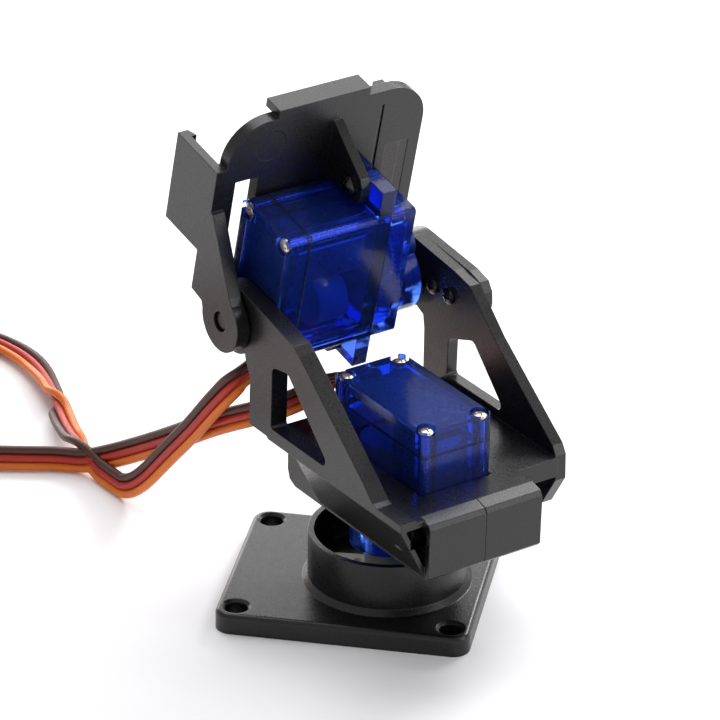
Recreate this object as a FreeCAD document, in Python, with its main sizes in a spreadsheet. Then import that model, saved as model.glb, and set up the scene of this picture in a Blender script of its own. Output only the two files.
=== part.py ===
import FreeCAD, Part
import math
import os
import Sketcher

# Pan tilt camera mount. Millimetres. Origin on the pan axis at the underside of
# the base, +Z up, +X along the tilt axis, +Y the way the camera plate faces.

Vector = FreeCAD.Vector
doc = FreeCAD.newDocument("PanTiltMount")
sheet = doc.addObject("Spreadsheet::Sheet", "Sizes")

SIZES = {
    # rest angles
    "panRest": 44.5, "tiltRest": 13.25,
    # base
    "plateLength": 38.0, "plateWidth": 33.0, "plateThick": 3.2, "plateOffset": 4.2,
    "plateCorner": 2.6, "boltX": 32.0, "boltY": 27.0, "boltRadius": 1.7,
    "cupRadius": 11.9, "cupBore": 11.0, "cupTop": 11.2, "cupFloor": 5.0,
    # servo
    "servoShort": 5.9, "servoLong": 22.8, "servoWide": 12.2, "coverTop": 4.3,
    "earLow": 15.9, "earTop": 18.4, "earReach": 4.7, "earHoleGap": 27.8,
    "caseTop": 22.7, "bossTop": 26.7, "bossRadius": 5.8, "smallBoss": 2.8,
    "shaftRadius": 2.4, "shaftTop": 29.9, "gearPitch": 5.75,
    # yoke
    "servoTop": 36.2, "blockHalf": 9.9, "blockFront": 24.5, "blockBack": 12.1,
    "blockLow": 16.5, "deckTop": 26.2, "leftOuter": 14.2, "leftInner": 11.4,
    "rightInner": 17.15, "rightOuter": 19.0, "rightPad": 20.6,
    # head
    "tiltY": 20.4, "tiltZ": 41.3, "servoLeft": 11.2, "plateNear": 6.1, "plateFar": 8.1,
    "earOuter": 16.6, "earInner": 14.5, "pivotRadius": 1.6, "pivotFit": 0.05,
    "leadWidth": 3.6, "servoGap": 0.15,
}
for row, (name, value) in enumerate(SIZES.items(), start=1):
    sheet.set("A%d" % row, name)
    sheet.set("B%d" % row, str(value))
    sheet.setAlias("B%d" % row, name)
doc.recompute()


def val(size):
    """Number for a size given as a number or as a formula over the sheet's names."""
    if isinstance(size, (int, float)):
        return float(size)
    total = 0.0
    for term in size.replace("-", "+-").split("+"):
        if not term:
            continue
        sign = -1.0 if term.startswith("-") else 1.0
        word = term.lstrip("-")
        factor = 1.0
        if word.endswith("/2"):
            word = word[:-2]
            factor = 0.5
        total += sign * factor * (SIZES[word] if word in SIZES else float(word))
    return total


def bind(obj, prop, size):
    """Binds a property to a sheet formula, or sets a plain number."""
    if isinstance(size, (int, float)):
        obj.setExpression(prop, str(float(size)))
        return
    words = []
    for term in size.replace("-", "+-").split("+"):
        if not term:
            continue
        word = term.lstrip("-")
        tail = ""
        if word.endswith("/2"):
            word = word[:-2]
            tail = " / 2"
        if word in SIZES:
            word = "Sizes." + word
        words.append(("-" if term.startswith("-") else "+") + " " + word + tail)
    obj.setExpression(prop, "0 " + " ".join(words))


def place(obj, x=0, y=0, z=0):
    bind(obj, "Placement.Base.x", x)
    bind(obj, "Placement.Base.y", y)
    bind(obj, "Placement.Base.z", z)
    return obj


def box(name, x0, x1, y0, y1, z0, z1):
    """Box between two corners; every corner value may be a sheet formula."""
    obj = doc.addObject("Part::Box", name)

    def span(low, high):
        if isinstance(low, (int, float)) and isinstance(high, (int, float)):
            return high - low
        low = str(low)
        flipped = "".join({"+": "-", "-": "+"}.get(c, c) for c in low)
        if not low.startswith("-"):
            flipped = "-" + flipped
        return str(high) + ("" if flipped.startswith(("-", "+")) else "+") + flipped

    bind(obj, "Length", span(x0, x1))
    bind(obj, "Width", span(y0, y1))
    bind(obj, "Height", span(z0, z1))
    return place(obj, x0, y0, z0)


TURN = {
    "Z": FreeCAD.Rotation(),
    "X": FreeCAD.Rotation(Vector(0, 1, 0), 90),
    "Y": FreeCAD.Rotation(Vector(1, 0, 0), -90),
}


def rod(name, radius, length, x=0, y=0, z=0, along="Z"):
    """Cylinder that starts at a point and runs along +X, +Y or +Z."""
    obj = doc.addObject("Part::Cylinder", name)
    bind(obj, "Radius", radius)
    bind(obj, "Height", length)
    obj.Placement.Rotation = TURN[along]
    return place(obj, x, y, z)


def fuse(name, *shapes):
    obj = doc.addObject("Part::MultiFuse", name)
    obj.Shapes = list(shapes)
    obj.Refine = True
    return obj


def cut(name, base, *tools):
    tool = tools[0] if len(tools) == 1 else fuse(name + "Tools", *tools)
    obj = doc.addObject("Part::Cut", name)
    obj.Base = base
    obj.Tool = tool
    obj.Refine = True
    return obj


def prism(name, outline, length, along="Z", start=0, rounds=()):
    """Pad of a closed outline. Along Z the outline is (X, Y); along X it is (Y, Z).
    rounds lists (corner number, radius) for the sketch's rounded corners."""
    body = doc.addObject("PartDesign::Body", name)
    sketch = body.newObject("Sketcher::SketchObject", name + "Sketch")
    plane = [f for f in body.Origin.OriginFeatures if f.Role == "XY_Plane"][0]
    sketch.AttachmentSupport = [(plane, "")]
    sketch.MapMode = "FlatFace"
    points = [(val(u), val(v)) for u, v in outline]
    count = len(points)
    for i in range(count):
        a = Vector(points[i][0], points[i][1], 0)
        b = Vector(points[(i + 1) % count][0], points[(i + 1) % count][1], 0)
        sketch.addGeometry(Part.LineSegment(a, b), False)
    for i in range(count):
        sketch.addConstraint(Sketcher.Constraint("Coincident", i, 2, (i + 1) % count, 1))
    for i in range(count):
        for axis, kind in enumerate(("DistanceX", "DistanceY")):
            tag = "%s%d" % ("uv"[axis], i)
            index = sketch.addConstraint(
                Sketcher.Constraint(kind, -1, 1, i, 1, points[i][axis]))
            sketch.renameConstraint(index, tag)
            if isinstance(outline[i][axis], str):
                bind(sketch, "Constraints." + tag, outline[i][axis])
    doc.recompute()
    pad = body.newObject("PartDesign::Pad", name + "Pad")
    pad.Profile = sketch
    bind(pad, "Length", length)
    doc.recompute()
    if along == "X":
        body.Placement.Rotation = FreeCAD.Rotation(Vector(1, 1, 1), 120)
        bind(body, "Placement.Base.x", start)
    else:
        bind(body, "Placement.Base.z", start)
    if rounds:
        for step, radius in enumerate(sorted(set(r for _, r in rounds))):
            base = body.Tip
            wanted = [points[c] for c, r in rounds if r == radius]
            names = []
            for number, edge in enumerate(base.Shape.Edges, start=1):
                ends = [p.Point for p in edge.Vertexes]
                if len(ends) != 2:
                    continue
                for u, v in wanted:
                    if all(math.hypot(p.x - u, p.y - v) < 1e-4 for p in ends):
                        names.append("Edge%d" % number)
            fillet = body.newObject("PartDesign::Fillet", "%sFillet%d" % (name, step))
            fillet.Base = (base, names)
            fillet.Radius = radius
            doc.recompute()
    return body


def soften(name, base, radius, wanted):
    """Fillets the edges of a boolean result whose ends all satisfy wanted(point)."""
    doc.recompute()
    obj = doc.addObject("Part::Fillet", name)
    obj.Base = base
    picked = []
    for number, edge in enumerate(base.Shape.Edges, start=1):
        probe = [edge.valueAt(edge.FirstParameter + k * (edge.LastParameter - edge.FirstParameter) / 2)
                 for k in (0, 1, 2)]
        if all(wanted(p) for p in probe):
            picked.append((number, radius, radius))
    obj.Edges = picked
    return obj


NODES = []


def node(name, obj):
    """Names a finished sub-part and lists it for export."""
    obj.Label = name
    NODES.append(obj)
    return obj


def formed(name, shape, placement=None):
    """Sub-part whose shape is written directly, for gears and lead runs."""
    obj = doc.addObject("Part::Feature", name)
    obj.Shape = shape
    if placement is not None:
        obj.Placement = placement
    return node(name, obj)


# ---------------------------------------------------------------- where groups sit
HEAD = FreeCAD.Placement(Vector(0, val("tiltY"), val("tiltZ")),
                         FreeCAD.Rotation(Vector(1, 0, 0), val("tiltRest")))
BASE = FreeCAD.Placement(Vector(0, 0, 0), FreeCAD.Rotation(Vector(0, 0, 1), -val("panRest")))
# servo frame: output axis along +z from the cover, long side along +x
PAN_SERVO = FreeCAD.Placement(
    Vector(0, 0, val("servoTop")),
    FreeCAD.Rotation(Vector(0, -1, 0), Vector(-1, 0, 0), Vector(0, 0, -1), "ZXY"))
TILT_SERVO = HEAD.multiply(FreeCAD.Placement(
    Vector(-val("servoLeft"), 0, 0),
    FreeCAD.Rotation(Vector(0, 0, 1), Vector(0, -1, 0), Vector(1, 0, 0), "ZXY")))


def seat(obj, placement):
    """Puts a finished sub-part in its group's place, tied to the sheet's angles."""
    obj.Placement = placement
    if placement is HEAD:
        bind(obj, "Placement.Base.y", "tiltY")
        bind(obj, "Placement.Base.z", "tiltZ")
        bind(obj, "Placement.Rotation.Angle", "tiltRest")
    return obj


# ---------------------------------------------------------------- base
plate = prism("BasePlate",
              [("-plateOffset-plateLength/2", "-plateWidth/2"),
               ("-plateOffset+plateLength/2", "-plateWidth/2"),
               ("-plateOffset+plateLength/2", "plateWidth/2"),
               ("-plateOffset-plateLength/2", "plateWidth/2")],
              "plateThick", rounds=[(0, 2.6), (1, 2.6), (2, 2.6), (3, 2.6)])
cup = rod("CupOuter", "cupRadius", "cupTop")
foot = doc.addObject("Part::Cone", "CupFoot")
bind(foot, "Radius1", "cupRadius+0.8")
bind(foot, "Radius2", "cupRadius")
bind(foot, "Height", 0.8)
place(foot, 0, 0, "plateThick")
base_solid = fuse("BaseSolid",
                  soften("PlateSoft", plate, 0.8, lambda p: abs(p.z - val("plateThick")) < 1e-3),
                  cup, foot)
base_tools = [rod("CupBoreTool", "cupBore", "cupTop", z="cupFloor"),
              rod("CentreAccess", 3.2, 6, z=-1)]
for ix in (-1, 1):
    for iy in (-1, 1):
        tag = "Bolt%d%d" % (ix + 1, iy + 1)
        bolt_x = "-plateOffset+boltX/2" if ix > 0 else "-plateOffset-boltX/2"
        bolt_y = "boltY/2" if iy > 0 else "-boltY/2"
        base_tools.append(rod(tag, "boltRadius", 8, bolt_x, bolt_y, -2))
        rim = doc.addObject("Part::Cone", tag + "Rim")
        bind(rim, "Radius1", "boltRadius")
        bind(rim, "Radius2", "boltRadius+0.5")
        bind(rim, "Height", 0.4)
        base_tools.append(place(rim, bolt_x, bolt_y, "plateThick-0.4"))
# screw holes through the floor for the horn, and the recess the horn sits in
base_tools.append(rod("HornHubTool", 3.7, 2, z=3.9))
for k, reach in enumerate((-6.5, 6.5)):
    base_tools.append(rod("HornPilot%d" % k, 0.75, 6, reach, 0, -1))
    base_tools.append(rod("HornSink%d" % k, 2.1, 2.0, reach, 0, -1))
slot_limit = doc.addObject("Part::Common", "HornSlotLimit")
slot_limit.Base = box("HornSlotTool", -16.0, 16.0, -2.4, 2.4, 3.9, 5.7)
slot_limit.Tool = rod("HornSlotRound", 10.2, 4, z=3.0)
base_tools.append(slot_limit)
base_cut = cut("BaseCut", base_solid, *base_tools)
node("base", seat(base_cut, BASE))


def horn(name, reach, hub_height, web, placement, single):
    """Nylon servo horn: hub with a splined socket and one or two tapered arms.
    Built with its hub along +z from the arm plane."""
    hub = rod(name + "Hub", 3.45, hub_height)
    arms = []
    sides = (-1,) if single else (-1, 1)
    for side in sides:
        tip = side * (reach - 1.6)
        outline = [(0, -2.2), (tip, -1.6), (tip, 1.6), (0, 2.2)]
        if side < 0:
            outline = outline[::-1]
        arms.append(prism("%sArm%d" % (name, side + 1), outline, 1.4))
        arms.append(rod("%sTip%d" % (name, side + 1), 1.6, 1.4, tip, 0, 0))
    solid = fuse(name + "Solid", hub, *arms)
    tools = [rod(name + "Socket", "shaftRadius", hub_height, z=web), rod(name + "Screw", 1.1, 3, z=-1)]
    holes = (4.5, 6.5, 8.6, 10.7) if single else (4.5, 6.5)
    for side in sides:
        for k, at in enumerate(holes):
            tools.append(rod("%sHole%d%d" % (name, side + 1, k), 0.55, 4, side * at, 0, -1))
    done = cut(name + "Cut", solid, *tools)
    done.Placement = placement
    return node(name, done)


def screw(name, radius, head_radius, length, placement, head=0.9):
    """Self tapping screw: domed head above the origin, shank along -z, cross slot."""
    shank = rod(name + "Shank", radius, length, z=-length)
    cap = doc.addObject("Part::Cylinder", name + "Cap")
    bind(cap, "Radius", head_radius)
    bind(cap, "Height", head)
    dome = doc.addObject("Part::Sphere", name + "Dome")
    big = (head_radius ** 2 + head ** 2) / (2 * head) * 1.35
    bind(dome, "Radius", big)
    place(dome, 0, 0, head - big)
    round_cap = doc.addObject("Part::Common", name + "Round")
    round_cap.Base = cap
    round_cap.Tool = dome
    solid = fuse(name + "Solid", shank, round_cap)
    arm = head_radius * 0.62
    wide = head_radius * 0.14
    done = cut(name + "Cut", solid,
               box(name + "SlotA", -arm, arm, -wide, wide, head * 0.45, head + 1),
               box(name + "SlotB", -wide, wide, -arm, arm, head * 0.45, head + 1))
    done.Placement = placement
    return node(name, done)


def at(x, y, z, axis=(1, 0, 0), angle=0.0):
    return FreeCAD.Placement(Vector(x, y, z), FreeCAD.Rotation(Vector(*axis), angle))


# the pan horn lies in the cup's floor, its hub upwards on the servo's shaft
horn("pan_horn", 9.2, 4.9, 1.1, BASE.multiply(at(0, 0, 3.9)), False)
for k, reach in enumerate((-6.5, 6.5)):
    screw("pan_horn_screw_%s" % "ab"[k], 0.7, 1.6, 4.0,
          BASE.multiply(at(reach, 0, 0.95, (1, 0, 0), 180)))

# ---------------------------------------------------------------- servo pieces
MODULE = 0.25


def gear_face(teeth, phase, bore):
    """Flat gear outline with slim teeth so the train runs with backlash."""
    pitch = teeth * MODULE / 2
    tip = pitch + 0.20
    root = pitch - 0.27
    points = []
    for k in range(teeth):
        mid = math.radians(phase) + 2 * math.pi * k / teeth
        for radius, half in ((root, 0.17), (tip, 0.06), (tip, -0.06), (root, -0.17)):
            turn = mid - half / radius
            points.append(Vector(radius * math.cos(turn), radius * math.sin(turn), 0))
    points.append(points[0])
    face = Part.Face(Part.makePolygon(points))
    if bore:
        face = face.cut(Part.Face(Part.Wire(Part.makeCircle(bore))))
    return face


def gear_disc(teeth, phase, bore, low, high, x):
    solid = gear_face(teeth, phase, bore).extrude(Vector(0, 0, high - low))
    solid.translate(Vector(x, 0, low))
    return solid


def servo(prefix, frame):
    """A nine gram servo: three case mouldings, screws, motor, board, sensor, gear train."""
    x_low = "-servoShort"
    x_high = "servoLong-servoShort"
    half = "servoWide/2"
    corners = [(xc, yc) for xc in (-val("servoShort") + 1.3, val(x_high) - 1.3)
               for yc in (-val(half) + 1.4, val(half) - 1.4)]

    def shell(tag, low, high):
        outer = prism(prefix + tag, [("-servoShort", "-servoWide/2"),
                                     ("servoLong-servoShort", "-servoWide/2"),
                                     ("servoLong-servoShort", "servoWide/2"),
                                     ("-servoShort", "servoWide/2")],
                      val(high) - val(low), start=low,
                      rounds=[(0, 0.7), (1, 0.7), (2, 0.7), (3, 0.7)])
        return outer

    def hollow(tag, low, high):
        return [box(prefix + tag + "A", "-servoShort+1.0", "servoLong-servoShort-1.0",
                    -3.2, 3.2, low, high),
                box(prefix + tag + "B", -3.2, 14.2, "-servoWide/2+1.0", "servoWide/2-1.0",
                    low, high)]

    # bottom cover with sunk corners for the case screws
    tools = hollow("CoverHollow", 1.0, 4.4)
    for k, (xc, yc) in enumerate(corners):
        tools.append(rod("%sSink%d" % (prefix, k), 1.45, 1.8, xc, yc, -1.0))
        tools.append(rod("%sThrough%d" % (prefix, k), 0.75, 6, xc, yc, 0))
    tools.append(rod(prefix + "LeadHole", 2.0, 3, x=-7.0, z=3.6, along="X"))
    cover = cut(prefix + "CoverCut", shell("Cover", 0.0, "coverTop"), *tools)
    cover.Placement = frame
    node(prefix + "_cover", cover)

    # middle case with the mounting ears
    ears = box(prefix + "Ears", "-servoShort-earReach", "servoLong-servoShort+earReach",
               "-servoWide/2", "servoWide/2", "earLow", "earTop")
    tools = hollow("MidHollow", 4.2, 16.4)
    for k, (xc, yc) in enumerate(corners):
        tools.append(rod("%sMidThrough%d" % (prefix, k), 0.75, 20, xc, yc, 0))
    centre = val("servoLong") / 2 - val("servoShort")
    for k, side in enumerate((-1, 1)):
        hole = centre + side * val("earHoleGap") / 2
        tools.append(rod("%sEarHole%d" % (prefix, k), 1.05, 5, hole, 0, 14.5))
        end = hole + side * 4
        tools.append(box("%sEarSlot%d" % (prefix, k), min(hole, end), max(hole, end),
                         -0.6, 0.6, 14.5, 19.5))
    tools.append(rod(prefix + "MotorShaftHole", 1.0, 4, 11.375, 0, 15.5))
    tools.append(rod(prefix + "MidLeadHole", 2.0, 3, x=-7.0, z=3.6, along="X"))
    tools.append(rod(prefix + "PinHoleA", 0.5, 0.8, 0, 0, 17.6))
    tools.append(rod(prefix + "PinHoleB", 0.5, 0.8, "gearPitch", 0, 17.6))
    mid = cut(prefix + "MidCut", fuse(prefix + "MidSolid", shell("Mid", "coverTop", "earTop"), ears),
              *tools)
    mid.Placement = frame
    node(prefix + "_case", mid)

    # top case with the two joined bosses
    solid = fuse(prefix + "TopSolid", shell("Top", "earTop", "caseTop"),
                 rod(prefix + "Boss", "bossRadius", "bossTop-caseTop", z="caseTop"),
                 rod(prefix + "SmallBoss", "smallBoss", "bossTop-caseTop", "gearPitch", 0, "caseTop"))
    tools = [box(prefix + "TopHollow", "-servoShort+0.9", "servoLong-servoShort-1.2",
                 "-servoWide/2+1.0", "servoWide/2-1.0", "earTop-0.1", 21.9),
             rod(prefix + "BossHollow", 4.95, 2.4, z=21.8),
             rod(prefix + "SmallHollow", 1.75, 2.6, "gearPitch", 0, 21.8),
             rod(prefix + "ShaftHole", "shaftRadius+0.05", 5, z=23.0),
             rod(prefix + "PinTop", 0.5, 1.0, "gearPitch", 0, 24.3)]
    # the motor end of the top moulding is solid round the screw pillars
    pillars = fuse(prefix + "Pillars", *[rod("%sPillar%d" % (prefix, k), 1.3, 3.6, xc, yc, 18.4)
                                         for k, (xc, yc) in enumerate(corners)])
    tools[0] = cut(prefix + "TopHollowCut", tools[0], pillars)
    top = cut(prefix + "TopCut", solid, *tools)
    top.Placement = frame
    node(prefix + "_top_case", top)

    for k, (xc, yc) in enumerate(corners):
        screw("%s_case_screw_%s" % (prefix, "abcd"[k]), 0.7, 1.15, 12.0,
              frame.multiply(at(xc, yc, 0.75, (1, 0, 0), 180)), head=0.6)

    # motor, its flat can, the speed sensor and the board
    can = doc.addObject("Part::Cylinder", prefix + "Can")
    bind(can, "Radius", 4.9)
    bind(can, "Height", 12.0)
    place(can, 9.9, 0, 3.6)
    slab = box(prefix + "CanFlat", 5.2, 14.0, -4.0, 4.0, 3.6, 15.6)
    flat = doc.addObject("Part::Common", prefix + "CanShape")
    flat.Base = can
    flat.Tool = slab
    nose = rod(prefix + "Nose", 1.5, 0.6, 11.375, 0, 15.6)
    motor = cut(prefix + "MotorCut", fuse(prefix + "MotorSolid", flat, nose),
                rod(prefix + "MotorBore", 0.5, 3.2, 11.375, 0, 13.2))
    motor.Placement = frame
    node(prefix + "_motor", motor)
    sensor = fuse(prefix + "Sensor", rod(prefix + "SensorCan", 4.0, 5.0, 0, 0, 9.4),
                  box(prefix + "SensorTab", -2.5, 2.5, -5.0, -3.6, 6.0, 14.0))
    sensor.Placement = frame
    node(prefix + "_sensor", sensor)
    board = fuse(prefix + "Board", box(prefix + "BoardSheet", -2.9, 13.8, -4.9, 4.9, 1.4, 2.2),
                 box(prefix + "Chip", 3.0, 7.0, -2.5, 2.5, 2.2, 3.3))
    board.Placement = frame
    node(prefix + "_board", board)
    gland = cut(prefix + "GlandCut",
                fuse(prefix + "GlandSolid",
                     rod(prefix + "GlandBody", 1.95, 3.4, x=-8.3, z=3.6, along="X"),
                     rod(prefix + "GlandCollar", 2.5, 0.9, x=-6.85, z=3.6, along="X")),
                box(prefix + "GlandSlot", -5.6, -4.5, -1.85, 1.85, 3.0, 4.2))
    gland.Placement = frame
    node(prefix + "_gland", gland)

    # gear train on two parallel axes
    b = val("gearPitch")
    for name, x, low, high in (("a", 0.0, 17.6, 22.2), ("b", b, 17.6, 25.2)):
        formed("%s_axle_%s" % (prefix, name),
               Part.makeCylinder(0.5, high - low, Vector(x, 0, low)), frame)
    shaft = Part.makeCylinder(val("shaftRadius"), 26.9 - 23.7, Vector(0, 0, 23.7))
    spline = gear_face(21, 0, 0).extrude(Vector(0, 0, val("shaftTop") - 26.9))
    grow = FreeCAD.Matrix()
    grow.scale(0.83, 0.83, 1.0)
    spline = spline.transformGeometry(grow)
    spline.translate(Vector(0, 0, 26.9))
    output = gear_disc(36, 0, 0, 22.6, 23.8, 0.0).fuse([shaft, spline])
    output = output.cut(Part.makeCylinder(0.6, 3.5, Vector(0, 0, val("shaftTop") - 3.4)))
    formed(prefix + "_output_gear", output, frame)
    hub = Part.makeCylinder(0.9, 2.4, Vector(b, 0, 21.5)).cut(
        Part.makeCylinder(0.55, 2.4, Vector(b, 0, 21.5)))
    formed(prefix + "_gear_one", gear_disc(36, 5, 0.55, 20.9, 21.5, b).fuse(hub), frame)
    formed(prefix + "_gear_two", gear_disc(36, 0, 0.55, 19.8, 20.4, 0.0).fuse(
        gear_disc(10, 0, 0.55, 20.4, 21.6, 0.0)), frame)


servo("pan_servo", PAN_SERVO)
servo("tilt_servo", TILT_SERVO)

# ---------------------------------------------------------------- yoke halves
def pocket(tag):
    """Space for the pan servo: its case right through and a slot for the ears."""
    well = box(tag + "Well", "-servoWide/2-servoGap", "servoWide/2+servoGap", -17.05, 6.05, 10, 30)
    slot = box(tag + "Slot", "-servoWide/2-servoGap", "servoWide/2+servoGap", -21.75, 10.75,
               "servoTop-earTop-0.1", "servoTop-earLow+0.1")
    return [well, slot]


# left half: block, deck, sloping skirt, arm with its window
left_block = prism("LeftBlock",
                   [("-blockFront+0.2", "blockLow+0.6"), ("-blockFront+0.8", "blockLow"),
                    ("blockBack-2.0", "blockLow"), ("blockBack-0.5", "blockLow+0.7"),
                    ("blockBack", "blockLow+2.2"), ("blockBack", "deckTop"),
                    ("-blockFront+2.6", "deckTop"), ("-blockFront+0.5", "deckTop-0.5"),
                    ("-blockFront", "deckTop-1.3")],
                   "blockHalf-0.05", along="X", start="-blockHalf")
left_deck = prism("LeftDeck",
                  [(-23.3, 25.3), (11.0, 25.3), ("blockBack", "deckTop"), (-23.3, "deckTop")],
                  4.35, along="X", start="-leftOuter")
left_arm = prism("LeftArm",
                 [(-23.3, 25.3), (16.0, 25.7), (15.95, 31.4), (15.7, 33.3), (17.1, 35.9),
                  (19.2, 46.75), (17.4, 46.3), (11.5, 45.1), (4.4, 43.3), (2.9, 42.3),
                  (-0.4, 39.7), (-13.8, 29.1), (-16.2, 26.9), (-17.2, 26.6), (-23.3, 26.6)],
                 "leftOuter-leftInner", along="X", start="-leftOuter")
left_head = rod("LeftHead", 5.5, "leftOuter-leftInner", "-leftOuter", "tiltY", "tiltZ", along="X")
left_window = prism("LeftWindow",
                    [(10.3, 27.4), (-5.4, 27.4), (5.9, 38.3), (10.0, 37.6)],
                    5, along="X", start=-15.5, rounds=[(0, 0.6), (1, 0.9), (2, 1.4), (3, 1.2)])
skirt = prism("LeftSkirt", [(-14.2, 25.4), (-9.8, 16.7), (-9.8, 18.3), (-13.1, 24.9), (-13.1, 25.4)],
              26.9, start=0)
skirt.Placement = FreeCAD.Placement(Vector(0, 3.6, 0), FreeCAD.Rotation(Vector(1, 0, 0), 90))
rib = box("LeftRib", -12.0, -9.8, -20.2, -18.9, 20.5, 25.4)
left_solid = fuse("LeftSolid", left_block, left_deck, left_arm, left_head, skirt, rib)
pin_hole = rod("LeftPinHole", "pivotRadius+pivotFit", 6, -16, "tiltY", "tiltZ", along="X")
clamp_front = (-21.9, 23.1)
clamp_back = (9.6, 23.0)
clamp_tools = []
for k, (cy, cz) in enumerate((clamp_front, clamp_back)):
    clamp_tools.append(rod("ClampPass%d" % k, 0.95, 14, -12.5, cy, cz, along="X"))
    clamp_tools.append(rod("ClampSeat%d" % k, 1.7, 4.4, -12.4, cy, cz, along="X"))
left = cut("LeftCut", left_solid, left_window, pin_hole, *(pocket("Left") + clamp_tools))
node("yoke_left", left)

# right half: block, deck, tall arm with the horn recess in its inner face
right_block = prism("RightBlock",
                    [("-blockFront+0.2", "blockLow+0.6"), ("-blockFront+0.8", "blockLow"),
                     ("blockBack-2.0", "blockLow"), ("blockBack-0.5", "blockLow+0.7"),
                     ("blockBack", "blockLow+2.2"), ("blockBack", "deckTop"),
                     ("-blockFront+2.6", "deckTop"), ("-blockFront+0.5", "deckTop-0.5"),
                     ("-blockFront", "deckTop-1.3")],
                    "blockHalf-0.05", along="X", start=0.05)
right_deck = box("RightDeck", 9.8, 17.3, -18.3, "blockBack", 23.2, "deckTop")
right_arm = prism("RightArm",
                  [(-14.8, 17.2), (11.5, 17.2), (15.95, 22.0), (15.95, 33.0), (16.3, 35.2),
                   (18.3, 36.1), (19.5, 47.0), (8.8, 45.6), (4.6, 44.7), (2.0, 42.3),
                   (-1.9, 38.7), (-16.9, 27.7), (-17.8, 26.2), (-17.9, 22.3)],
                  "rightOuter-rightInner", along="X", start="rightInner")
right_pad = prism("RightPad",
                  [(12.0, 34.6), (18.3, 35.9), (19.6, 47.0), (7.4, 45.6), (4.6, 44.8),
                   (3.6, 43.3), (3.5, 41.4), (4.4, 38.0)],
                  "rightPad-rightOuter", along="X", start="rightOuter")
right_head = rod("RightHead", 5.75, "rightPad-rightInner", "rightInner", "tiltY", "tiltZ", along="X")
right_window = prism("RightWindow",
                     [(9.9, 27.6), (-5.2, 27.6), (3.4, 36.2), (9.7, 33.9)],
                     5, along="X", start=16, rounds=[(0, 0.6), (1, 0.9), (2, 1.2), (3, 1.2)])
gusset = prism("RightGusset", [(9.8, 23.3), (9.8, 18.0), (17.3, 18.0), (17.3, 23.3)], 2.2, start=0)
gusset.Placement = FreeCAD.Placement(Vector(0, -10.0, 0), FreeCAD.Rotation(Vector(1, 0, 0), 90))
gusset_back = prism("RightGussetBack",
                    [(9.8, 23.3), (9.8, 18.0), (17.3, 18.0), (17.3, 23.3)], 2.2, start=0)
gusset_back.Placement = FreeCAD.Placement(Vector(0, 9.5, 0),
                                          FreeCAD.Rotation(Vector(1, 0, 0), 90))
right_solid = fuse("RightSolid", right_block, right_deck, right_arm, right_pad, right_head,
                   gusset, gusset_back)
# recess for the tilt horn in the outer side: hub through the arm, one arm towards -Y
recess = [rod("HornSeat", 3.75, 6.0, 16.0, "tiltY", "tiltZ", along="X"),
          box("HornSeatArm", "rightInner+0.65", 22.0, 6.5, "tiltY", 38.7, 43.4)]
for k, reach in enumerate((6.5, 10.7)):
    recess.append(rod("HornBite%d" % k, 0.55, 2.0, 16.5, val("tiltY") - reach, 41.05, along="X"))
for k, (cy, cz) in enumerate((clamp_front, clamp_back)):
    recess.append(rod("ClampBite%d" % k, 0.7, 6.5, -0.5, cy, cz, along="X"))
right = cut("RightCut", right_solid, right_window, *(recess + pocket("Right")))
node("yoke_right", right)

for k, (cy, cz) in enumerate((clamp_front, clamp_back)):
    screw("yoke_screw_%s" % "ab"[k], 0.7, 1.55, 13.3,
          at(-8.0, cy, cz, (0, 1, 0), -90))

# tilt horn in the recess, hub towards the servo, held by two screws from inside
horn("tilt_horn", 13.6, 3.45, 0.5,
     FreeCAD.Placement(Vector(19.3, val("tiltY"), val("tiltZ") - 0.25),
                       FreeCAD.Rotation(Vector(0, 1, 0), Vector(0, 0, -1), Vector(-1, 0, 0), "ZXY")),
     True)
for k, reach in enumerate((6.5, 10.7)):
    screw("tilt_horn_screw_%s" % "ab"[k], 0.5, 1.35, 2.6,
          at(17.15, val("tiltY") - reach, val("tiltZ") - 0.25, (0, 1, 0), -90), head=0.8)

# ---------------------------------------------------------------- head
near = "plateNear"
slab = prism("HeadSlab",
             [(-16.6, 0.6), (-1.2, 0.6), (-1.2, -12.6), (12.6, -12.6), (12.6, -2.0),
              (19.65, -2.0), (19.65, 30.0), (-14.9, 30.0), (-14.9, 22.9), (-16.6, 22.9)],
             "plateFar-plateNear", rounds=[(6, 6.6), (7, 6.9), (2, 1.5), (3, 1.5), (5, 1.5)])
slab.Placement = FreeCAD.Placement(Vector(0, val("plateFar"), 0),
                                   FreeCAD.Rotation(Vector(1, 0, 0), 90))
bind(slab, "Placement.Base.y", "plateFar")
lip = box("TopLip", -7.0, 9.0, "plateNear", "plateFar+1.6", 30.0, 31.4)
lip_root = box("TopLipRoot", -7.0, 9.0, "plateNear", "plateFar", 29.0, 30.5)
ear = prism("PivotEar",
            [("plateFar", 0.6), (5.2, 0.3), (4.0, -1.9), (-3.4, 2.9), (-1.4, 5.1),
             (5.6, 15.6), ("plateFar", 16.6)],
            "earOuter-earInner", along="X", start="-earOuter")
ear_end = rod("PivotEarEnd", 4.75, "earOuter-earInner", "-earOuter", 0, 0, along="X")
left_flap = box("LeftFlap", "-earOuter", "-earOuter+1.4", "plateFar-0.5", 17.0, 7.6, 22.9)
left_hook = prism("LeftHook", [(-16.6, 15.4), (-14.3, 15.4), (-14.9, 17.0), (-16.6, 17.0)], 15.3,
                  start=7.6)
right_flap = box("RightFlap", 18.25, 19.65, "plateFar-0.5", 17.0, 7.6, 22.9)
right_hook = prism("RightHook", [(19.65, 15.4), (19.65, 17.0), (17.9, 17.0), (17.3, 15.4)], 15.3,
                   start=7.6)
fin_outline = [(6.3, 27.2), (-2.4, 22.0), (-3.1, 20.9), (-3.1, 18.6), (-2.2, 17.3), (6.3, 17.3)]
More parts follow.
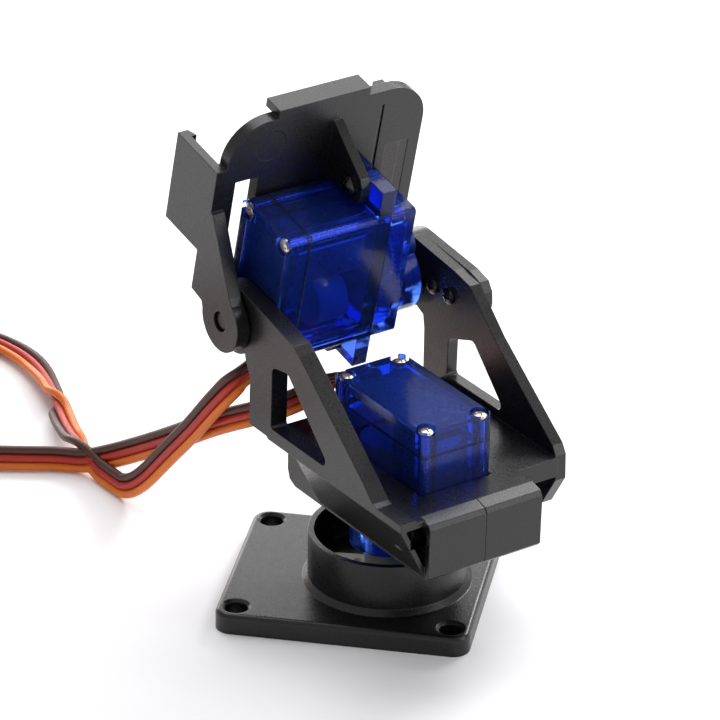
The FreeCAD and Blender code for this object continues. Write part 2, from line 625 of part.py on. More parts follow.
upper_fin = prism("UpperFin", fin_outline, 1.6, along="X", start="-servoLeft+earLow-1.65",
                  rounds=[(1, 0.8), (3, 0.8)])
low_outline = [(6.3, -12.4), (6.3, -6.3), (-1.9, -6.3), (-2.9, -7.3), (-2.9, -9.3), (-1.8, -10.4)]
lower_fin = prism("LowerFin", low_outline, 1.6, along="X", start="-servoLeft+earLow-1.65")
head_solid = fuse("HeadSolid", slab, lip, lip_root, ear, ear_end, left_flap, left_hook,
                  right_flap, right_hook, upper_fin, lower_fin)
head_tools = [box("LeftSlot", -13.0, -9.0, 5, 9, 3.4, 20.2),
              box("RightSlot", 13.6, 17.6, 5, 9, 3.4, 19.8),
              rod("EarPinSeat", "pivotRadius", 4, -17.5, 0, 0, along="X")]
centre = val("servoLong") / 2 - val("servoShort")
for k, side in enumerate((-1, 1)):
    head_tools.append(rod("FinHole%d" % k, 0.75, 4, 2.0, 0, centre + side * 13.9, along="X"))
# shallow marks on the plate's back: a round ejector mark and two thin grooves
head_tools.append(rod("EjectMark", 2.6, 0.16, -7.6, "plateNear-0.1", 25.3, along="Y"))
head_tools.append(box("GrooveA", 11.5, 12.0, "plateNear-0.1", "plateNear+0.2", 3.0, 27.6))
head_cut = cut("HeadCut", head_solid, *head_tools)
node("head_plate", seat(head_cut, HEAD))

# pivot pin pressed in the ear, running in the left arm
pin = fuse("PinSolid", rod("PinRod", "pivotRadius", 4.4, -15.9, 0, 0, along="X"),
           rod("PinCap", 1.2, 0.4, -16.2, 0, 0, along="X"))
node("pivot_pin", seat(pin, HEAD))

for k, side in enumerate((1, -1)):
    z = centre + side * 13.9
    screw("tilt_ear_screw_%s" % "ab"[k], 0.7, 1.7, 5.2,
          HEAD.multiply(at(val("earLow") - val("servoLeft") - 1.65, 0, z, (0, 1, 0), -90)),
          head=1.0)

# the screw in each output shaft
screw("pan_shaft_screw", 0.55, 1.9, 4.4, at(0, 0, 3.85, (1, 0, 0), 180), head=0.8)
screw("tilt_shaft_screw", 0.55, 1.5, 3.9, at(19.3, val("tiltY"), val("tiltZ"), (0, 1, 0), 90),
      head=0.8)

# ---------------------------------------------------------------- servo leads
LEAD = val("leadWidth")


def tube_wire(points):
    """Straight runs joined by tangent arcs as large as the shorter run beside each allows."""
    pts = [Vector(*p) for p in points]
    edges = []
    radii = []
    start = pts[0]
    for before, corner, after in zip(pts, pts[1:], pts[2:]):
        u = (before - corner).normalize()
        v = (after - corner).normalize()
        turn = math.pi - u.getAngle(v)
        trim = 0.45 * min((before - corner).Length, (after - corner).Length)
        radius = trim / math.tan(turn / 2)
        radii.append(round(radius, 1))
        a = corner + u * trim
        b = corner + v * trim
        bisector = (u + v).normalize()
        middle = corner + bisector * (radius / math.cos(turn / 2) - radius)
        edges.append(Part.makeLine(start, a))
        edges.append(Part.Arc(a, middle, b).toShape())
        start = b
    edges.append(Part.makeLine(start, pts[-1]))
    return Part.Wire(edges), radii


def tube(points, radius):
    wire, radii = tube_wire(points)
    first = Vector(*points[0])
    way = (Vector(*points[1]) - first).normalize()
    ring = Part.Wire(Part.makeCircle(radius, first, way))
    solid = wire.makePipeShell([ring], True, False)
    wanted = math.pi * radius ** 2 * wire.Length
    return solid, wire.Length, radii, solid.Volume / wanted


def lead(name, points):
    solid, length, radii, ratio = tube(points, LEAD / 2)
    print("lead %s length %.1f radii %s volume ratio %.4f" % (name, length, radii, ratio))
    return formed(name, solid)


# the tilt servo's lead: a stub at the servo, the drop behind the yoke, the floor run
lead("tilt_lead_stub", [(-7.6, 22.3, 33.22), (-7.6, 23.1, 29.7), (-10.8, 23.5, 28.9)])
lead("tilt_lead_drop", [(-11.85, 23.6, 28.6), (-15.6, 24.4, 27.1), (-18.6, 28.4, 23.4),
                        (-18.9, 34.2, 17.6), (-18.4, 39.4, 11.9), (-18.0, 43.4, 8.6)])
lead("tilt_lead_floor", [(-17.96, 43.8, 8.3), (-17.5, 47.6, 5.9), (-18.3, 53.0, 5.6),
                         (-19.1, 58.8, 5.9), (-18.6, 64.2, 4.4), (-16.6, 70.2, 1.8),
                         (-12.2, 78.4, 1.8), (-7.8, 87.6, 1.8), (-6.6, 97.4, 1.8),
                         (-8.8, 105.8, 1.8), (-12.7, 113.2, 1.8)])
# the pan servo's lead passes beside the plate's foot, then runs below the other lead
lead("pan_lead_drop", [(0.0, 8.3, 32.6), (0.0, 10.7, 32.6), (-2.0, 12.6, 31.2),
                       (-3.9, 13.9, 28.0), (-4.6, 15.6, 24.6), (-8.2, 18.8, 22.4),
                       (-12.6, 23.0, 19.6), (-14.6, 28.8, 16.2), (-14.6, 35.4, 12.4),
                       (-13.5, 44.5, 8.3)])
lead("pan_lead_floor", [(-13.41, 45.45, 7.92), (-12.7, 49.8, 6.1), (-13.5, 54.2, 3.1),
                        (-17.4, 58.4, 1.8), (-23.2, 61.4, 1.8), (-28.6, 64.2, 1.8),
                        (-32.3, 67.6, 1.8), (-34.2, 72.4, 1.8)])


def coil(name, x, y):
    """Outer shape of a neat coil of lead lying on the surface."""
    outer = rod(name + "Outer", 20.4, 2.8, x, y, 0)
    return node(name, cut(name + "Cut", outer, rod(name + "Inner", 15.8, 6, x, y, -1)))


def connector(name, centre_x, centre_y, angle):
    """Three-way crimp housing lying on the coil, its middle over the turns at this angle."""
    shell = box(name + "Shell", -7.0, 7.0, -3.8, 3.8, 0, 2.6)
    tools = []
    for k in (-1, 0, 1):
        tools.append(box("%sSocket%d" % (name, k + 1), 5.0, 8.0, 2.54 * k - 0.4, 2.54 * k + 0.4,
                         0.9, 1.7))
        tools.append(box("%sLatch%d" % (name, k + 1), -2.0, 0.6, 2.54 * k - 0.7, 2.54 * k + 0.7,
                         2.1, 3.0))
    done = cut(name + "Cut", shell, *tools)
    turn = math.radians(angle)
    done.Placement = at(centre_x + 17.6 * math.cos(turn), centre_y + 17.6 * math.sin(turn), 2.8,
                        (0, 0, 1), angle + 90)
    return node(name, done)


coil("tilt_lead_coil", -30.0, 107.5)
coil("pan_lead_coil", -52.0, 73.0)
connector("tilt_connector", -30.0, 107.5, 80.0)
connector("pan_connector", -52.0, 73.0, 130.0)

# ---------------------------------------------------------------- checks and files
doc.recompute()
bad = [o.Name for o in doc.Objects if "Invalid" in o.State or "Error" in o.State]
if bad:
    raise RuntimeError("objects that failed: %s" % bad)
os.makedirs("parts", exist_ok=True)
faulty = [o.Label for o in NODES if o.Shape.isNull() or not o.Shape.isValid()]
if faulty:
    raise RuntimeError("bad shapes: %s" % faulty)
for obj in NODES:
    shape = obj.Shape
    if len(shape.Solids) != 1:
        print("note: %s has %d solids" % (obj.Label, len(shape.Solids)))
for obj in NODES:
    obj.Shape.exportStep("parts/%s.step" % obj.Label)
    print("%-24s %8.1f mm3" % (obj.Label, obj.Shape.Volume))
print(len(NODES), "nodes")
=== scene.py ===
"""Looks for a small two-servo pan and tilt mount: finishes, wire leads, light and camera."""

import math

import bmesh
import bpy
from mathutils import Matrix, Vector


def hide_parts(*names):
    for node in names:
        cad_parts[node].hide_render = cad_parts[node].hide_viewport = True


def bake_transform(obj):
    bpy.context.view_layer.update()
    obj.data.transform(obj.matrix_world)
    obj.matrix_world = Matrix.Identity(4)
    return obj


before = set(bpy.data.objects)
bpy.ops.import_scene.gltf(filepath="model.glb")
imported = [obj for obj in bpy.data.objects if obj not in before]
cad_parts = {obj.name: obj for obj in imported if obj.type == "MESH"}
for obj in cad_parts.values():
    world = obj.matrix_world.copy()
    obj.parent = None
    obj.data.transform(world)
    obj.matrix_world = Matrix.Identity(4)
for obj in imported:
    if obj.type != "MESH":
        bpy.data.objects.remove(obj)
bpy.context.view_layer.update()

bl_info = {
    "name": "Pan Tilt Mount Looks",
    "version": (1, 0, 0),
    "blender": (4, 5, 0),
    "location": "View3D > Sidebar > Mount",
    "description": "Finishes, leads, light and camera for a two-servo pan and tilt mount",
    "category": "Object",
}

MM = 0.001
UP = Vector((0.0, 0.0, 1.0))


# ------------------------------------------------------------------ settings
class MountColours(bpy.types.PropertyGroup):
    """Colours of the mouldings and wires."""

    nylon: bpy.props.StringProperty(
        name="Nylon", description="Colour of the black mouldings, as sRGB hex", default="0B0A0C")
    servo_case: bpy.props.StringProperty(
        name="Servo case", description="Colour of the translucent servo case", default="4C7CFF")
    brown_wire: bpy.props.StringProperty(
        name="Brown wire", description="Colour of the ground wire", default="4E2B22")
    red_wire: bpy.props.StringProperty(
        name="Red wire", description="Colour of the supply wire", default="B42E22")
    orange_wire: bpy.props.StringProperty(
        name="Orange wire", description="Colour of the signal wire", default="E0721C")
    floor: bpy.props.StringProperty(
        name="Floor", description="Colour of the floor", default="F4F3F5")


class MountLeads(bpy.types.PropertyGroup):
    """Sizes of the two servo leads."""

    wire_pitch: bpy.props.FloatProperty(
        name="Wire pitch", description="Distance between two neighbouring wires",
        default=1.3 * MM, unit="LENGTH")
    wire_radius: bpy.props.FloatProperty(
        name="Wire radius", description="Outer radius of one wire",
        default=0.67 * MM, unit="LENGTH")
    lead_length: bpy.props.FloatProperty(
        name="Lead length", description="Length of one lead from its servo to its plug",
        default=250.0 * MM, unit="LENGTH")
    coil_radius: bpy.props.FloatProperty(
        name="Coil radius", description="Radius of the stored coil at the middle of its turns",
        default=18.0 * MM, unit="LENGTH")


class MountCamera(bpy.types.PropertyGroup):
    """Where the camera stands."""

    azimuth: bpy.props.FloatProperty(
        name="Azimuth", description="Turn of the view about the vertical",
        default=math.radians(-34.71), subtype="ANGLE")
    elevation: bpy.props.FloatProperty(
        name="Elevation", description="Height of the view above the horizon",
        default=math.radians(26.94), subtype="ANGLE")
    roll: bpy.props.FloatProperty(
        name="Roll", description="Turn of the camera about its own axis",
        default=math.radians(0.91), subtype="ANGLE")
    distance: bpy.props.FloatProperty(
        name="Distance", description="Distance from the camera to its target",
        default=683.6 * MM, unit="LENGTH")
    lens: bpy.props.FloatProperty(
        name="Lens", description="Focal length in millimetres", default=235.87)
    target: bpy.props.FloatVectorProperty(
        name="Target", description="Point the camera looks at",
        default=(-5.55 * MM, 0.0, 40.7 * MM), subtype="TRANSLATION")


def colours():
    return bpy.context.scene.mount_colours


def lead_sizes():
    return bpy.context.scene.mount_leads


def linear(code):
    """Linear colour with alpha from an sRGB hex code."""
    parts = []
    for k in (0, 2, 4):
        c = int(code[k:k + 2], 16) / 255
        parts.append(c / 12.92 if c <= 0.04045 else ((c + 0.055) / 1.055) ** 2.4)
    return (*parts, 1.0)


# ------------------------------------------------------------------ material tools
def add(tree, kind, inputs=None, **settings):
    """Adds one shader node, sets its settings, and fills or links its inputs."""
    made = tree.nodes.new(kind)
    for name, value in settings.items():
        setattr(made, name, value)
    for name, value in (inputs or {}).items():
        socket = made.inputs[name]
        if isinstance(value, bpy.types.NodeSocket):
            tree.links.new(value, socket)
        else:
            socket.default_value = value
    return made


def new_material(name):
    """An empty material with its output, its shader, and object coordinates."""
    material = bpy.data.materials.new(name)
    material.use_nodes = True
    tree = material.node_tree
    tree.nodes.clear()
    shader = add(tree, "ShaderNodeBsdfPrincipled")
    output = add(tree, "ShaderNodeOutputMaterial")
    tree.links.new(shader.outputs["BSDF"], output.inputs["Surface"])
    place = add(tree, "ShaderNodeTexCoord").outputs["Object"]
    return material, tree, shader, place


def set_inputs(shader, **values):
    """Sets constants on the shader, with underscores for the spaces in socket names."""
    for name, value in values.items():
        shader.inputs[name.replace("_", " ")].default_value = value


def noise(tree, place, size_mm, detail=3.0, rough=0.55):
    """Noise whose features are about size_mm across."""
    return add(tree, "ShaderNodeTexNoise",
               {"Vector": place, "Scale": 1000.0 / size_mm, "Detail": detail, "Roughness": rough})


def spread(tree, value, low, high, start=0.35, end=0.65):
    """Maps a 0 to 1 value between two numbers."""
    return add(tree, "ShaderNodeMapRange",
               {"Value": value, "From Min": start, "From Max": end,
                "To Min": low, "To Max": high}).outputs["Result"]


def tint(tree, value, first, second):
    """Mixes two colours by a 0 to 1 value."""
    mix = add(tree, "ShaderNodeMix", data_type="RGBA")
    tree.links.new(value, mix.inputs[0])
    mix.inputs[6].default_value = first
    mix.inputs[7].default_value = second
    return mix.outputs[2]


def relief(tree, shader, height, depth_mm, edge_mm):
    """Surface relief over worn, slightly rounded edges."""
    edge = add(tree, "ShaderNodeBevel", {"Radius": edge_mm * MM}, samples=6)
    bump = add(tree, "ShaderNodeBump",
               {"Height": height, "Strength": 1.0, "Distance": depth_mm * MM,
                "Normal": edge.outputs["Normal"]})
    tree.links.new(bump.outputs["Normal"], shader.inputs["Normal"])


# ------------------------------------------------------------------ finishes
def black_nylon():
    """Moulded black nylon: a soft sheen, faint flow marks and a fine sparked texture."""
    material, tree, shader, place = new_material("black moulded nylon")
    base = linear(colours().nylon)
    cloudy = noise(tree, place, 9.0).outputs["Fac"]
    fine = noise(tree, place, 0.28, 4.0, 0.7).outputs["Fac"]
    warm = tuple(min(1.0, c * 1.35 + 0.002) for c in base[:3]) + (1.0,)
    tree.links.new(tint(tree, cloudy, base, warm), shader.inputs["Base Color"])
    tree.links.new(spread(tree, fine, 0.24, 0.38), shader.inputs["Roughness"])
    set_inputs(shader, Specular_IOR_Level=0.42, IOR=1.53)
    both = add(tree, "ShaderNodeMath", {0: fine, 1: 0.6}, operation="MULTIPLY")
    total = add(tree, "ShaderNodeMath", {0: both.outputs[0], 1: cloudy}, operation="ADD")
    relief(tree, shader, total.outputs[0], 0.018, 0.22)
    return material


def blue_case():
    """Translucent blue polycarbonate: clear enough to show the works as dark shapes."""
    material, tree, shader, place = new_material("translucent blue polycarbonate")
    base = linear(colours().servo_case)
    deep = tuple(c * 0.72 for c in base[:3]) + (1.0,)
    flow = noise(tree, place, 6.0, 2.0).outputs["Fac"]
    fine = noise(tree, place, 0.9, 2.0).outputs["Fac"]
    tree.links.new(tint(tree, flow, base, deep), shader.inputs["Base Color"])
    tree.links.new(spread(tree, fine, 0.08, 0.16), shader.inputs["Roughness"])
    set_inputs(shader, Transmission_Weight=0.94, IOR=1.3, Specular_IOR_Level=0.6)
    relief(tree, shader, flow, 0.02, 0.18)
    return material


def metal(name, code, low, high, scratch_mm, edge_mm=0.06):
    """A small turned or plated metal piece with fine scratches."""
    material, tree, shader, place = new_material(name)
    base = linear(code)
    dark = tuple(c * 0.72 for c in base[:3]) + (1.0,)
    worn = noise(tree, place, scratch_mm * 4).outputs["Fac"]
    fine = noise(tree, place, scratch_mm, 4.0).outputs["Fac"]
    tree.links.new(tint(tree, worn, base, dark), shader.inputs["Base Color"])
    tree.links.new(spread(tree, fine, low, high), shader.inputs["Roughness"])
    set_inputs(shader, Metallic=1.0)
    relief(tree, shader, fine, 0.004, edge_mm)
    return material


def nickel_screw():
    """Nickel plated steel screws, slightly warm."""
    return metal("nickel plated steel", "D9CDBB", 0.18, 0.34, 0.25)


def blackened_screw():
    """Black oxide screws with bright wear on the slot's edges."""
    return metal("black oxide steel", "4A484A", 0.2, 0.36, 0.25)


def motor_can():
    """Drawn steel can of the little motor."""
    return metal("drawn steel can", "B9BABD", 0.25, 0.42, 0.6)


def steel_axle():
    """Ground steel axles of the gear train."""
    return metal("ground steel", "C9C9CC", 0.12, 0.22, 0.2)


def plain_plastic(name, code, low, high, size_mm, depth_mm, edge_mm=0.12):
    """Opaque plastic or rubber with a fine surface."""
    material, tree, shader, place = new_material(name)
    base = linear(code)
    shade = tuple(c * 0.82 for c in base[:3]) + (1.0,)
    cloudy = noise(tree, place, size_mm * 12).outputs["Fac"]
    fine = noise(tree, place, size_mm, 4.0).outputs["Fac"]
    tree.links.new(tint(tree, cloudy, base, shade), shader.inputs["Base Color"])
    tree.links.new(spread(tree, fine, low, high), shader.inputs["Roughness"])
    relief(tree, shader, fine, depth_mm, edge_mm)
    return material


def white_nylon():
    """Natural nylon wheels and horns, a little waxy."""
    material = plain_plastic("natural nylon", "E9E6DC", 0.32, 0.46, 0.4, 0.01)
    shader = next(n for n in material.node_tree.nodes if n.type == "BSDF_PRINCIPLED")
    set_inputs(shader, Subsurface_Weight=0.15, Subsurface_Scale=0.8 * MM)
    return material


def circuit_board():
    """Green lacquered board."""
    return plain_plastic("lacquered circuit board", "175C33", 0.22, 0.4, 0.5, 0.02)


def black_rubber():
    """Soft rubber of the lead's entry sleeve."""
    return plain_plastic("soft black rubber", "1A1A1B", 0.6, 0.8, 0.3, 0.02)


def black_connector():
    """Moulded black housing of the lead's plug."""
    return plain_plastic("black plug moulding", "161617", 0.38, 0.52, 0.3, 0.012)


def wire_jacket(name, code):
    """Smooth PVC wire, faintly rippled by the strands inside."""
    material, tree, shader, place = new_material(name)
    base = linear(code)
    shade = tuple(c * 0.8 for c in base[:3]) + (1.0,)
    cloudy = noise(tree, place, 5.0).outputs["Fac"]
    fine = noise(tree, place, 0.5).outputs["Fac"]
    tree.links.new(tint(tree, cloudy, base, shade), shader.inputs["Base Color"])
    tree.links.new(spread(tree, fine, 0.36, 0.5), shader.inputs["Roughness"])
    set_inputs(shader, Specular_IOR_Level=0.4, Subsurface_Weight=0.06, Subsurface_Scale=0.5 * MM)
    bump = add(tree, "ShaderNodeBump", {"Height": fine, "Strength": 1.0, "Distance": 0.01 * MM})
    tree.links.new(bump.outputs["Normal"], shader.inputs["Normal"])
    return material


def pale_floor():
    """Plain paper sweep."""
    material, tree, shader, place = new_material("pale paper floor")
    base = linear(colours().floor)
    shade = tuple(c * 0.985 for c in base[:3]) + (1.0,)
    cloudy = noise(tree, place, 60.0).outputs["Fac"]
    tree.links.new(tint(tree, cloudy, base, shade), shader.inputs["Base Color"])
    set_inputs(shader, Roughness=0.9, Specular_IOR_Level=0.2)
    return material


def finish_nodes(material, names):
    """Gives one finish to a list of the mount's own pieces."""
    for name in names:
        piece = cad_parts[name]
        piece.data.materials.clear()
        piece.data.materials.append(material)


def named(*endings):
    """Pieces whose names end in one of the given words."""
    return [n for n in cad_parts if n.endswith(endings)]


# ------------------------------------------------------------------ leads
def spline_points(points, name):
    """Points along a smooth NURBS line through a given route in millimetres."""
    curve = bpy.data.curves.new(name + "_line", "CURVE")
    curve.dimensions = "3D"
    curve.resolution_u = 12
    spline = curve.splines.new("NURBS")
    spline.points.add(len(points) - 1)
    for point, place in zip(spline.points, points):
        point.co = (place[0] * MM, place[1] * MM, place[2] * MM, 1.0)
    spline.order_u = 3
    spline.use_endpoint_u = True
    holder = bpy.data.objects.new(name + "_line", curve)
    bpy.context.scene.collection.objects.link(holder)
    bpy.context.view_layer.update()
    mesh = bpy.data.meshes.new_from_object(holder)
    line = [v.co.copy() for v in mesh.vertices]
    bpy.data.objects.remove(holder)
    bpy.data.curves.remove(curve)
    bpy.data.meshes.remove(mesh)
    return line


def lengths_along(line):
    """Distance from the start at each point of a line."""
    out = [0.0]
    for a, b in zip(line, line[1:]):
        out.append(out[-1] + (b - a).length)
    return out


def twist_at(stops, distance):
    """Angle of the ribbon, eased between (millimetres, degrees) stops."""
    at = distance / MM
    for (s0, a0), (s1, a1) in zip(stops, stops[1:]):
        if at <= s1:
            k = max(0.0, min(1.0, (at - s0) / (s1 - s0)))
            k = k * k * (3 - 2 * k)
            return math.radians(a0 + (a1 - a0) * k)
    return math.radians(stops[-1][1])


def rest_on_floor(line, stops):
    """Lifts a line where its ribbon, turned as it is there, would reach below the floor."""
    sizes = lead_sizes()
    out = []
    for point, distance in zip(line, lengths_along(line)):
        half = sizes.wire_pitch * abs(math.sin(twist_at(stops, distance))) + sizes.wire_radius
        out.append(Vector((point.x, point.y, max(point.z, half + 0.1 * MM))))
    return out


def ribbon(name, line, stops, finishes):
    """Three bonded wires side by side, the first towards the ribbon's right hand."""
    sizes = lead_sizes()
    along = lengths_along(line)
    mesh = bpy.data.meshes.new(name)
    build = bmesh.new()
    sides = 12
    rings = [[], [], []]
    for k, point in enumerate(line):
        ahead = line[min(k + 1, len(line) - 1)] - line[max(k - 1, 0)]
        ahead.normalize()
        hand = ahead.cross(UP).normalized()
        lift = hand.cross(ahead).normalized()
        angle = twist_at(stops, along[k])
        wide = math.cos(angle) * hand + math.sin(angle) * lift
        thin = ahead.cross(wide)
        for w in range(3):
            centre = point + wide * sizes.wire_pitch * (1 - w)
            ring = []
            for s in range(sides):
                turn = 2 * math.pi * s / sides
                ring.append(build.verts.new(
                    centre + sizes.wire_radius * (math.cos(turn) * wide + math.sin(turn) * thin)))
            rings[w].append(ring)
    for w in range(3):
        for ring, after in zip(rings[w], rings[w][1:]):
            for s in range(sides):
                face = build.faces.new((ring[s], ring[(s + 1) % sides],
                                        after[(s + 1) % sides], after[s]))
                face.smooth = True
                face.material_index = w
        for ring, flip in ((rings[w][0], True), (rings[w][-1], False)):
            cap = build.faces.new(ring[::-1] if flip else ring)
            cap.material_index = w
    bmesh.ops.recalc_face_normals(build, faces=build.faces)
    build.to_mesh(mesh)
    build.free()
    for finish in finishes:
        mesh.materials.append(finish)
    piece = bpy.data.objects.new(name, mesh)
    bpy.context.scene.collection.objects.link(piece)
    return piece


# a stored coil, in millimetres: height of its turns and of the plug's end, part of the way round
# where it starts to climb, degrees between two points, and how much wider it gets
COIL_LOW = 0.8
PLUG_HEIGHT = 4.1
CLIMB_START = 0.55
COIL_STEP = 25
COIL_SPREAD = 1.6


def coil_route(centre, start, end):
    """Turns of the stored coil, rising near its end to the plug that lies on it."""
    radius = lead_sizes().coil_radius / MM
    count = max(3, round((end - start) / COIL_STEP))
    out = []
    for k in range(1, count + 1):
        part = k / count
        angle = math.radians(start + (end - start) * part)
        climb = max(0.0, part - CLIMB_START) / (1.0 - CLIMB_START)
        r = radius * 1.013 + COIL_SPREAD * (part - 0.5)
        out.append((centre[0] + r * math.cos(angle), centre[1] + r * math.sin(angle),
                    COIL_LOW + (PLUG_HEIGHT - COIL_LOW) * climb * climb * (3 - 2 * climb)))
    return out


# middle of each coil, and the angles in degrees where the lead joins it and ends
TILT_COIL = ((-30.0, 107.5), 36.0, 418.0)
PAN_COIL = ((-52.0, 73.0), 6.0, 468.0)
# the tilt servo's lead: behind the left arm, down to the floor, folded, and away
TILT_ROUTE = [(-7.6, 22.3, 33.2), (-7.8, 22.9, 31.2), (-10.6, 22.0, 30.6), (-13.2, 22.0, 29.4),
              (-14.6, 25.6, 24.6), (-15.4, 30.0, 18.8), (-16.3, 35.8, 12.2), (-17.0, 41.2, 5.8),
              (-17.4, 45.4, 2.4), (-17.6, 50.0, 1.5), (-17.7, 54.6, 2.2), (-17.4, 59.4, 3.8),
              (-16.6, 63.6, 3.4), (-13.4, 71.8, 2.2), (-9.4, 81.2, 2.1), (-7.0, 90.8, 1.9),
              (-7.2, 99.6, 1.4), (-9.4, 107.2, 1.0), (-12.6, 113.4, 0.8)]
TILT_TWIST = [(0, 90), (52, 80), (62, 178), (71, 200), (80, 330), (92, 372),
              (112, 360), (250, 360)]
# the pan servo's lead: out of the case end, behind the arm's strut, along the floor
PAN_ROUTE = [(0.0, 8.3, 32.6), (-0.3, 10.6, 32.5), (-2.2, 12.4, 31.2), (-5.2, 14.2, 28.6),
             (-8.2, 17.4, 26.0), (-11.2, 21.8, 23.6), (-13.0, 27.4, 20.4), (-14.0, 33.6, 16.2),
             (-14.6, 40.0, 12.0), (-15.2, 46.4, 8.0), (-16.0, 52.0, 4.6), (-17.8, 56.6, 2.1),
             (-21.0, 60.0, 1.9), (-25.8, 63.2, 1.8), (-30.2, 66.4, 1.4), (-33.2, 70.0, 0.9)]
PAN_TWIST = [(0, 180), (9, 96), (62, 80), (86, 60), (100, 0), (250, 0)]


def make_lead(name, route, twist, coil, nodes):
    """Builds one lead as a ribbon of three wires and says what it is."""
    tones = colours()
    finishes = [wire_jacket(name + " brown wire", tones.brown_wire),
                wire_jacket(name + " red wire", tones.red_wire),
                wire_jacket(name + " orange wire", tones.orange_wire)]
    line = rest_on_floor(spline_points(route + coil_route(*coil), name), twist)
    print(name, "length mm", round(lengths_along(line)[-1] / MM, 1))
    piece = ribbon(name, line, twist, finishes)
    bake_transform(piece)
    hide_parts(*nodes)
    return piece


# ------------------------------------------------------------------ operators
class LeadOperator(bpy.types.Operator):
    """Lay both servo leads"""

    bl_idname = "mount.leads"
    bl_label = "Servo leads"

    def execute(self, context):
        make_lead("tilt_lead", TILT_ROUTE, TILT_TWIST, TILT_COIL,
                  ("tilt_lead_stub", "tilt_lead_drop", "tilt_lead_floor", "tilt_lead_coil"))
        make_lead("pan_lead", PAN_ROUTE, PAN_TWIST, PAN_COIL,
                  ("pan_lead_drop", "pan_lead_floor", "pan_lead_coil"))
        return {"FINISHED"}


class MouldingOperator(bpy.types.Operator):
    """Finish the black mouldings of the base, the yoke and the head"""

    bl_idname = "mount.mouldings"
    bl_label = "Black mouldings"

    def execute(self, context):
        finish_nodes(black_nylon(), ["base", "yoke_left", "yoke_right", "head_plate", "pivot_pin",
                                     "tilt_horn"])
        return {"FINISHED"}


class ServoOperator(bpy.types.Operator):
    """Finish both servos, outside and inside"""

    bl_idname = "mount.servos"
    bl_label = "Servos"

    def execute(self, context):
        finish_nodes(blue_case(), named("_servo_cover", "_servo_case", "_top_case"))
        finish_nodes(motor_can(), named("_motor"))
        finish_nodes(white_nylon(), named("_sensor", "_output_gear", "_gear_one", "_gear_two",
                                          "pan_horn"))
        finish_nodes(circuit_board(), named("_board"))
        finish_nodes(black_rubber(), named("_gland"))
        finish_nodes(steel_axle(), named("_axle_a", "_axle_b"))
        return {"FINISHED"}


class ScrewOperator(bpy.types.Operator):
    """Finish the screws"""

    bl_idname = "mount.screws"
    bl_label = "Screws"

    def execute(self, context):
        screws = [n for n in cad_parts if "screw" in n]
        dark = [n for n in screws if n.startswith(("tilt_horn_screw", "yoke_screw", "tilt_ear"))]
        finish_nodes(blackened_screw(), dark)
        finish_nodes(nickel_screw(), [n for n in screws if n not in dark])
        return {"FINISHED"}


class PlugOperator(bpy.types.Operator):
    """Finish the plugs at the leads' ends"""

    bl_idname = "mount.plugs"
    bl_label = "Plugs"

    def execute(self, context):
        finish_nodes(black_connector(), named("_connector"))
        return {"FINISHED"}


def area_light(name, place, aim, size, power, tone="FFFFFF"):
    """A large soft lamp that points at a place."""
    lamp = bpy.data.lights.new(name, "AREA")
    lamp.shape = "RECTANGLE"
    lamp.size = size[0]
    lamp.size_y = size[1]
    lamp.energy = power
    lamp.color = linear(tone)[:3]
    holder = bpy.data.objects.new(name, lamp)
    bpy.context.scene.collection.objects.link(holder)
    holder.location = place
    holder.rotation_euler = (Vector(aim) - Vector(place)).to_track_quat("-Z", "Y").to_euler()
    return holder


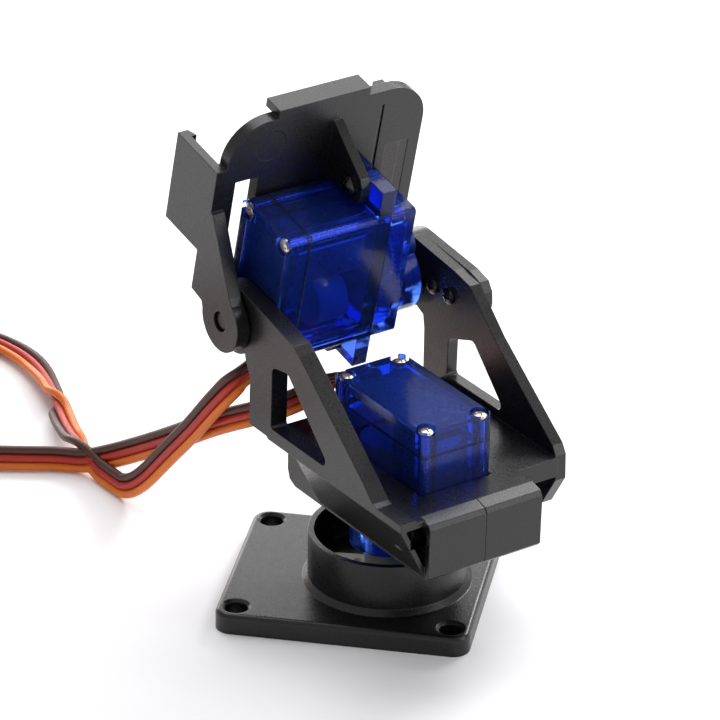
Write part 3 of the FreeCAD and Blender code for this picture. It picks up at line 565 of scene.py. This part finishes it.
class StageOperator(bpy.types.Operator):
    """Set the floor, the lamps and the camera"""

    bl_idname = "mount.stage"
    bl_label = "Stage"

    def execute(self, context):
        scene = context.scene
        view = scene.mount_camera
        az, el = view.azimuth, view.elevation
        back = Vector((math.sin(az) * math.cos(el), -math.cos(az) * math.cos(el), math.sin(el)))
        right = Vector((math.cos(az), math.sin(az), 0.0))
        top = back.cross(right)
        c, s = math.cos(view.roll), math.sin(view.roll)
        across = c * right + s * top
        upward = c * top - s * right
        lens = bpy.data.cameras.new("camera")
        lens.sensor_width = 36.0
        lens.lens = view.lens
        lens.clip_start = 0.01
        lens.clip_end = 20.0
        camera = bpy.data.objects.new("camera", lens)
        scene.collection.objects.link(camera)
        stand = Vector(view.target) + back * view.distance
        turn = Matrix((across, upward, back)).transposed().to_4x4()
        camera.matrix_world = Matrix.Translation(stand) @ turn
        scene.camera = camera

        mesh = bpy.data.meshes.new("floor")
        reach = 4.0
        mesh.from_pydata([(-reach, -reach, 0), (reach, -reach, 0), (reach, reach, 0),
                          (-reach, reach, 0)], [], [(0, 1, 2, 3)])
        floor = bpy.data.objects.new("floor", mesh)
        mesh.materials.append(pale_floor())
        scene.collection.objects.link(floor)

        world = bpy.data.worlds.new("studio")
        world.use_nodes = True
        world.node_tree.nodes["Background"].inputs["Color"].default_value = linear("FFFFFF")
        world.node_tree.nodes["Background"].inputs["Strength"].default_value = 0.55
        scene.world = world
        middle = (0.0, 0.01, 0.04)
        lamps = [area_light("overhead", (0.25, 0.45, 1.0), middle, (0.9, 0.9), 8.0),
                 area_light("right key", (0.95, 0.35, 0.75), middle, (0.45, 0.45), 11.0),
                 area_light("right window", (0.55, -0.7, 0.45), middle, (0.4, 0.6), 2.2),
                 area_light("back glow", (0.3, 0.9, 0.25), middle, (0.8, 0.4), 4.0)]
        scene.view_settings.view_transform = "Standard"
        return {"FINISHED"}


class MountPanel(bpy.types.Panel):
    """The mount's own panel in the sidebar."""

    bl_idname = "VIEW3D_PT_mount"
    bl_label = "Pan Tilt Mount"
    bl_space_type = "VIEW_3D"
    bl_region_type = "UI"
    bl_category = "Mount"

    def draw(self, context):
        for group in (context.scene.mount_colours, context.scene.mount_leads,
                      context.scene.mount_camera):
            for name in group.__annotations__:
                self.layout.prop(group, name)
        for operator in OPERATORS:
            self.layout.operator(operator.bl_idname)


SETTINGS = {"mount_colours": MountColours, "mount_leads": MountLeads, "mount_camera": MountCamera}
OPERATORS = (StageOperator, LeadOperator, MouldingOperator, ServoOperator, ScrewOperator,
             PlugOperator)


def register():
    for group in SETTINGS.values():
        bpy.utils.register_class(group)
    for name, group in SETTINGS.items():
        setattr(bpy.types.Scene, name, bpy.props.PointerProperty(type=group))
    for operator in OPERATORS:
        bpy.utils.register_class(operator)
    bpy.utils.register_class(MountPanel)


def unregister():
    bpy.utils.unregister_class(MountPanel)
    for operator in reversed(OPERATORS):
        bpy.utils.unregister_class(operator)
    for name, group in reversed(SETTINGS.items()):
        delattr(bpy.types.Scene, name)
        bpy.utils.unregister_class(group)


def main():
    """Builds everything in order."""
    register()
    bpy.ops.mount.stage()
    bpy.ops.mount.leads()
    bpy.ops.mount.mouldings()
    bpy.ops.mount.servos()
    bpy.ops.mount.screws()
    bpy.ops.mount.plugs()


if __name__ == "__main__":
    main()
